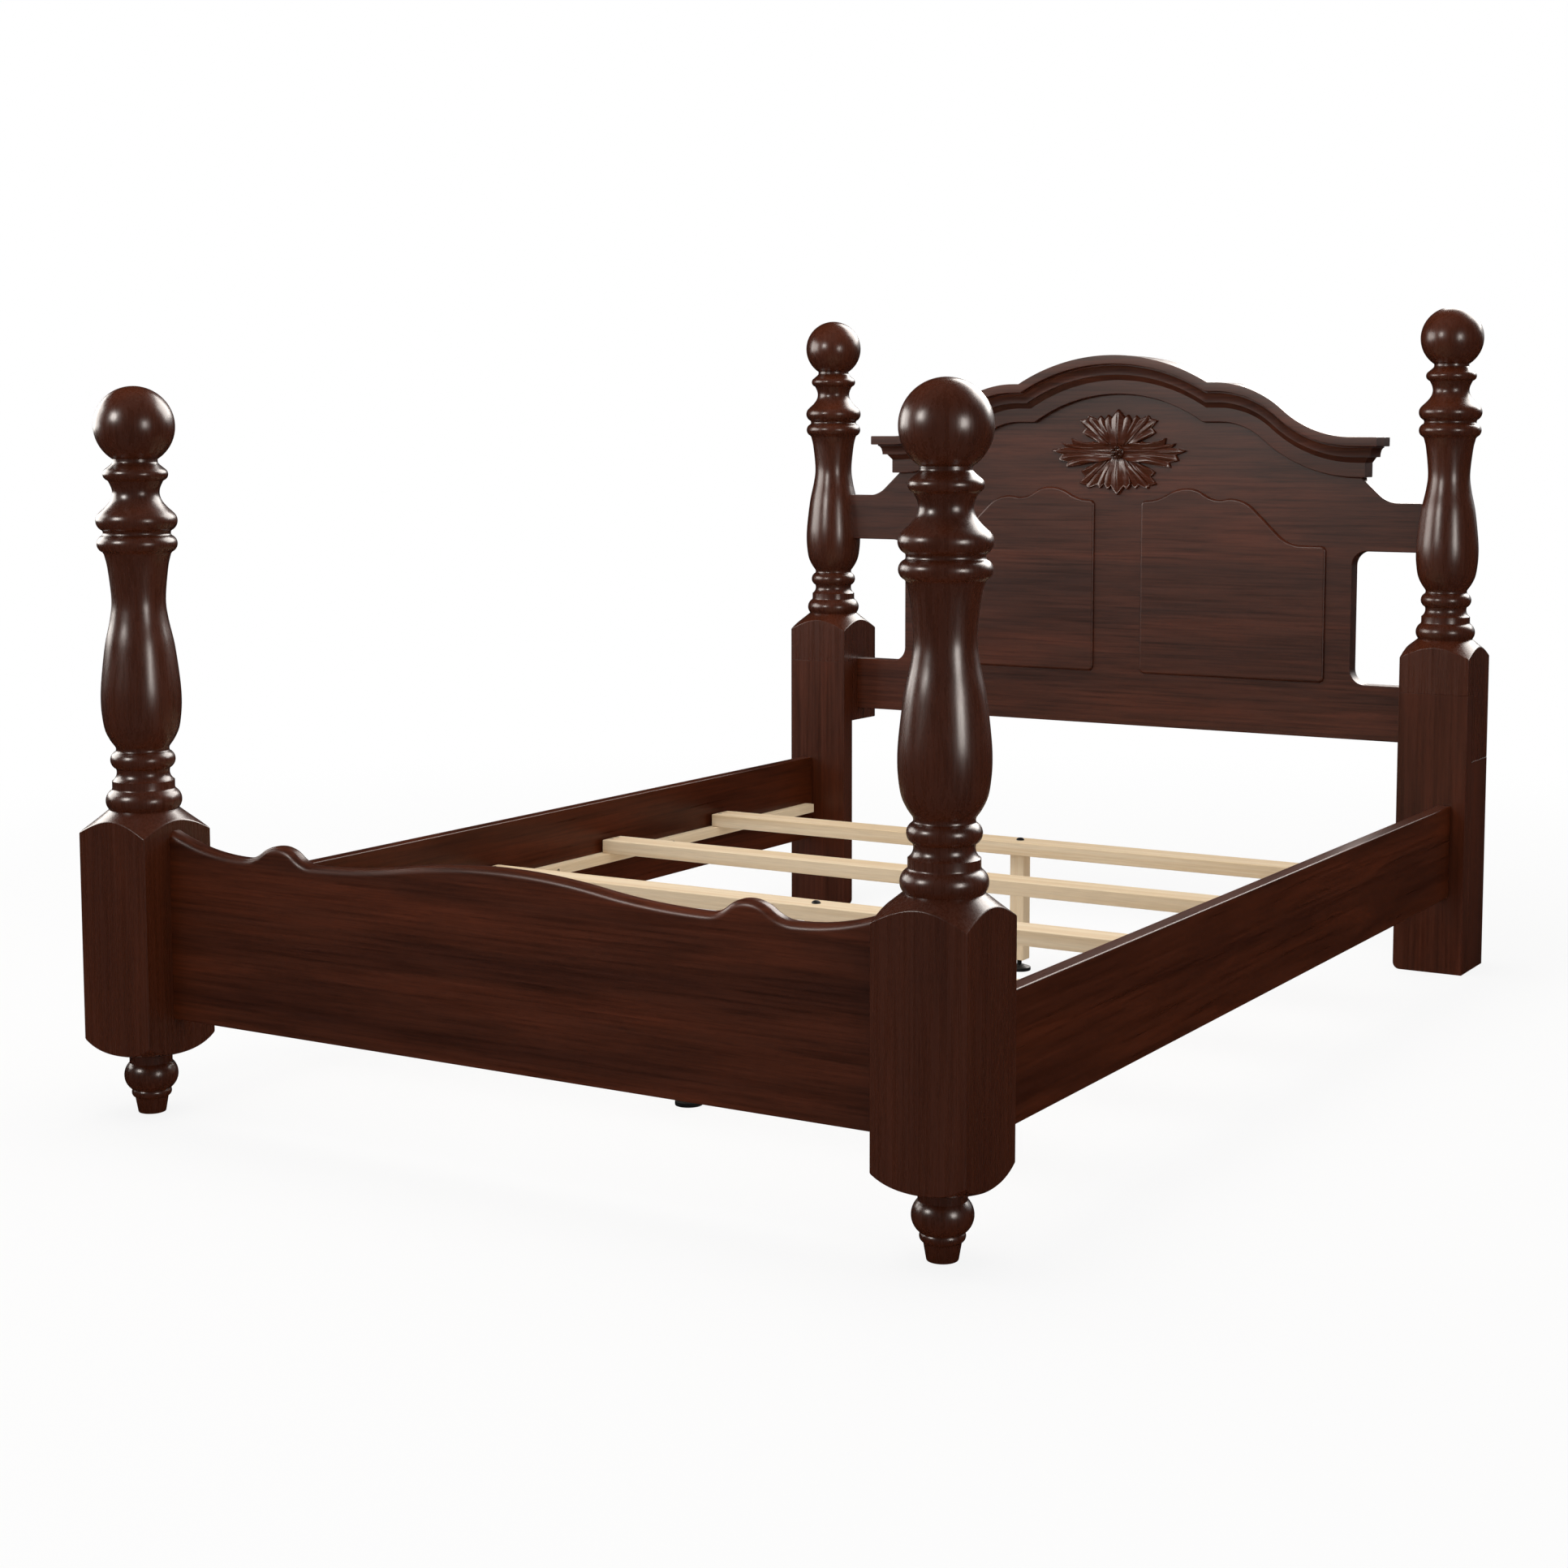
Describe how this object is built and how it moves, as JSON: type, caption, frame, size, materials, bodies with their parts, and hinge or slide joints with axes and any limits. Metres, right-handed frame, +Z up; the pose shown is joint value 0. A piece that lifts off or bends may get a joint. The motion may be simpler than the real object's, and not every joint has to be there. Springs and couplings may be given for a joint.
{
  "type": "four-poster bed frame",
  "caption": "Wooden bed frame with square-blocked turned posts, ball finials, a waved footboard, a crowned headboard with carved leaf ornament, side rails, slats and levelling centre legs.",
  "frame": {"origin": "on the floor under the middle of the bed", "axes": "+X to the right seen from the foot, +Y from foot to head, +Z up"},
  "size_m": [1.6574, 2.3838, 1.401],
  "materials": {
    "cherry_lacquer": "dark cherry stain under semi-gloss lacquer",
    "dark_stain": "near-black stain in the carving",
    "raw_pine": "planed softwood, unfinished",
    "beech_dowel": "fluted hardwood, unfinished",
    "black_steel": "black phosphate",
    "zinc_steel": "zinc plated",
    "black_plastic": "moulded, fine texture"
  },
  "bodies": {
    "bed": {"foot_post_left": "cherry_lacquer", "foot_post_right": "cherry_lacquer", "bun_foot_left": "cherry_lacquer", "bun_foot_right": "cherry_lacquer", "footboard_panel": "cherry_lacquer", "head_post_left": "cherry_lacquer", "head_post_right": "cherry_lacquer", "head_leg_front_board_left": "cherry_lacquer", "head_leg_front_board_right": "cherry_lacquer", "head_leg_side_board_left": "cherry_lacquer", "head_leg_side_board_right": "cherry_lacquer", "headboard_panel": "cherry_lacquer", "raised_panel_left": "cherry_lacquer", "raised_panel_right": "cherry_lacquer", "crown_cap": "cherry_lacquer", "crown_cove": "cherry_lacquer", "crown_fascia": "cherry_lacquer", "rosette_leaves": "cherry_lacquer", "side_rail_left": "cherry_lacquer", "side_rail_right": "cherry_lacquer", "rosette_seeds": "dark_stain", "slat_cleat_left": "raw_pine", "slat_cleat_right": "raw_pine", "bed_slat_1": "raw_pine", "bed_slat_2": "raw_pine", "bed_slat_3": "raw_pine", "bed_slat_4": "raw_pine", "support_leg_1": "raw_pine", "support_leg_2": "raw_pine", "support_leg_3": "raw_pine", "support_leg_4": "raw_pine", "footboard_dowels": "beech_dowel", "headboard_dowels": "beech_dowel", "head_leg_dowels": "beech_dowel", "slat_screws": "black_steel", "cleat_screws": "black_steel", "leg_bolts": "black_steel", "foot_hanger_bolts": "zinc_steel", "footboard_bolts": "zinc_steel", "footboard_barrel_nuts": "zinc_steel", "headboard_bolts": "zinc_steel", "headboard_barrel_nuts": "zinc_steel", "rail_hook_plates": "zinc_steel", "post_slot_plates": "zinc_steel", "plate_screws": "zinc_steel", "leg_inserts": "zinc_steel"},
    "leveller_1": {"leveller_1": "black_plastic"},
    "leveller_2": {"leveller_2": "black_plastic"},
    "leveller_3": {"leveller_3": "black_plastic"},
    "leveller_4": {"leveller_4": "black_plastic"}
  },
  "joints": [
    {"name": "leveller_1_travel", "type": "slide", "parent": "bed", "child": "leveller_1", "axis": [0, 0, 1], "range_m": [-0.015, 0.0115]},
    {"name": "leveller_2_travel", "type": "slide", "parent": "bed", "child": "leveller_2", "axis": [0, 0, 1], "range_m": [-0.015, 0.0115]},
    {"name": "leveller_3_travel", "type": "slide", "parent": "bed", "child": "leveller_3", "axis": [0, 0, 1], "range_m": [-0.015, 0.0115]},
    {"name": "leveller_4_travel", "type": "slide", "parent": "bed", "child": "leveller_4", "axis": [0, 0, 1], "range_m": [-0.015, 0.0115]}
  ]
}
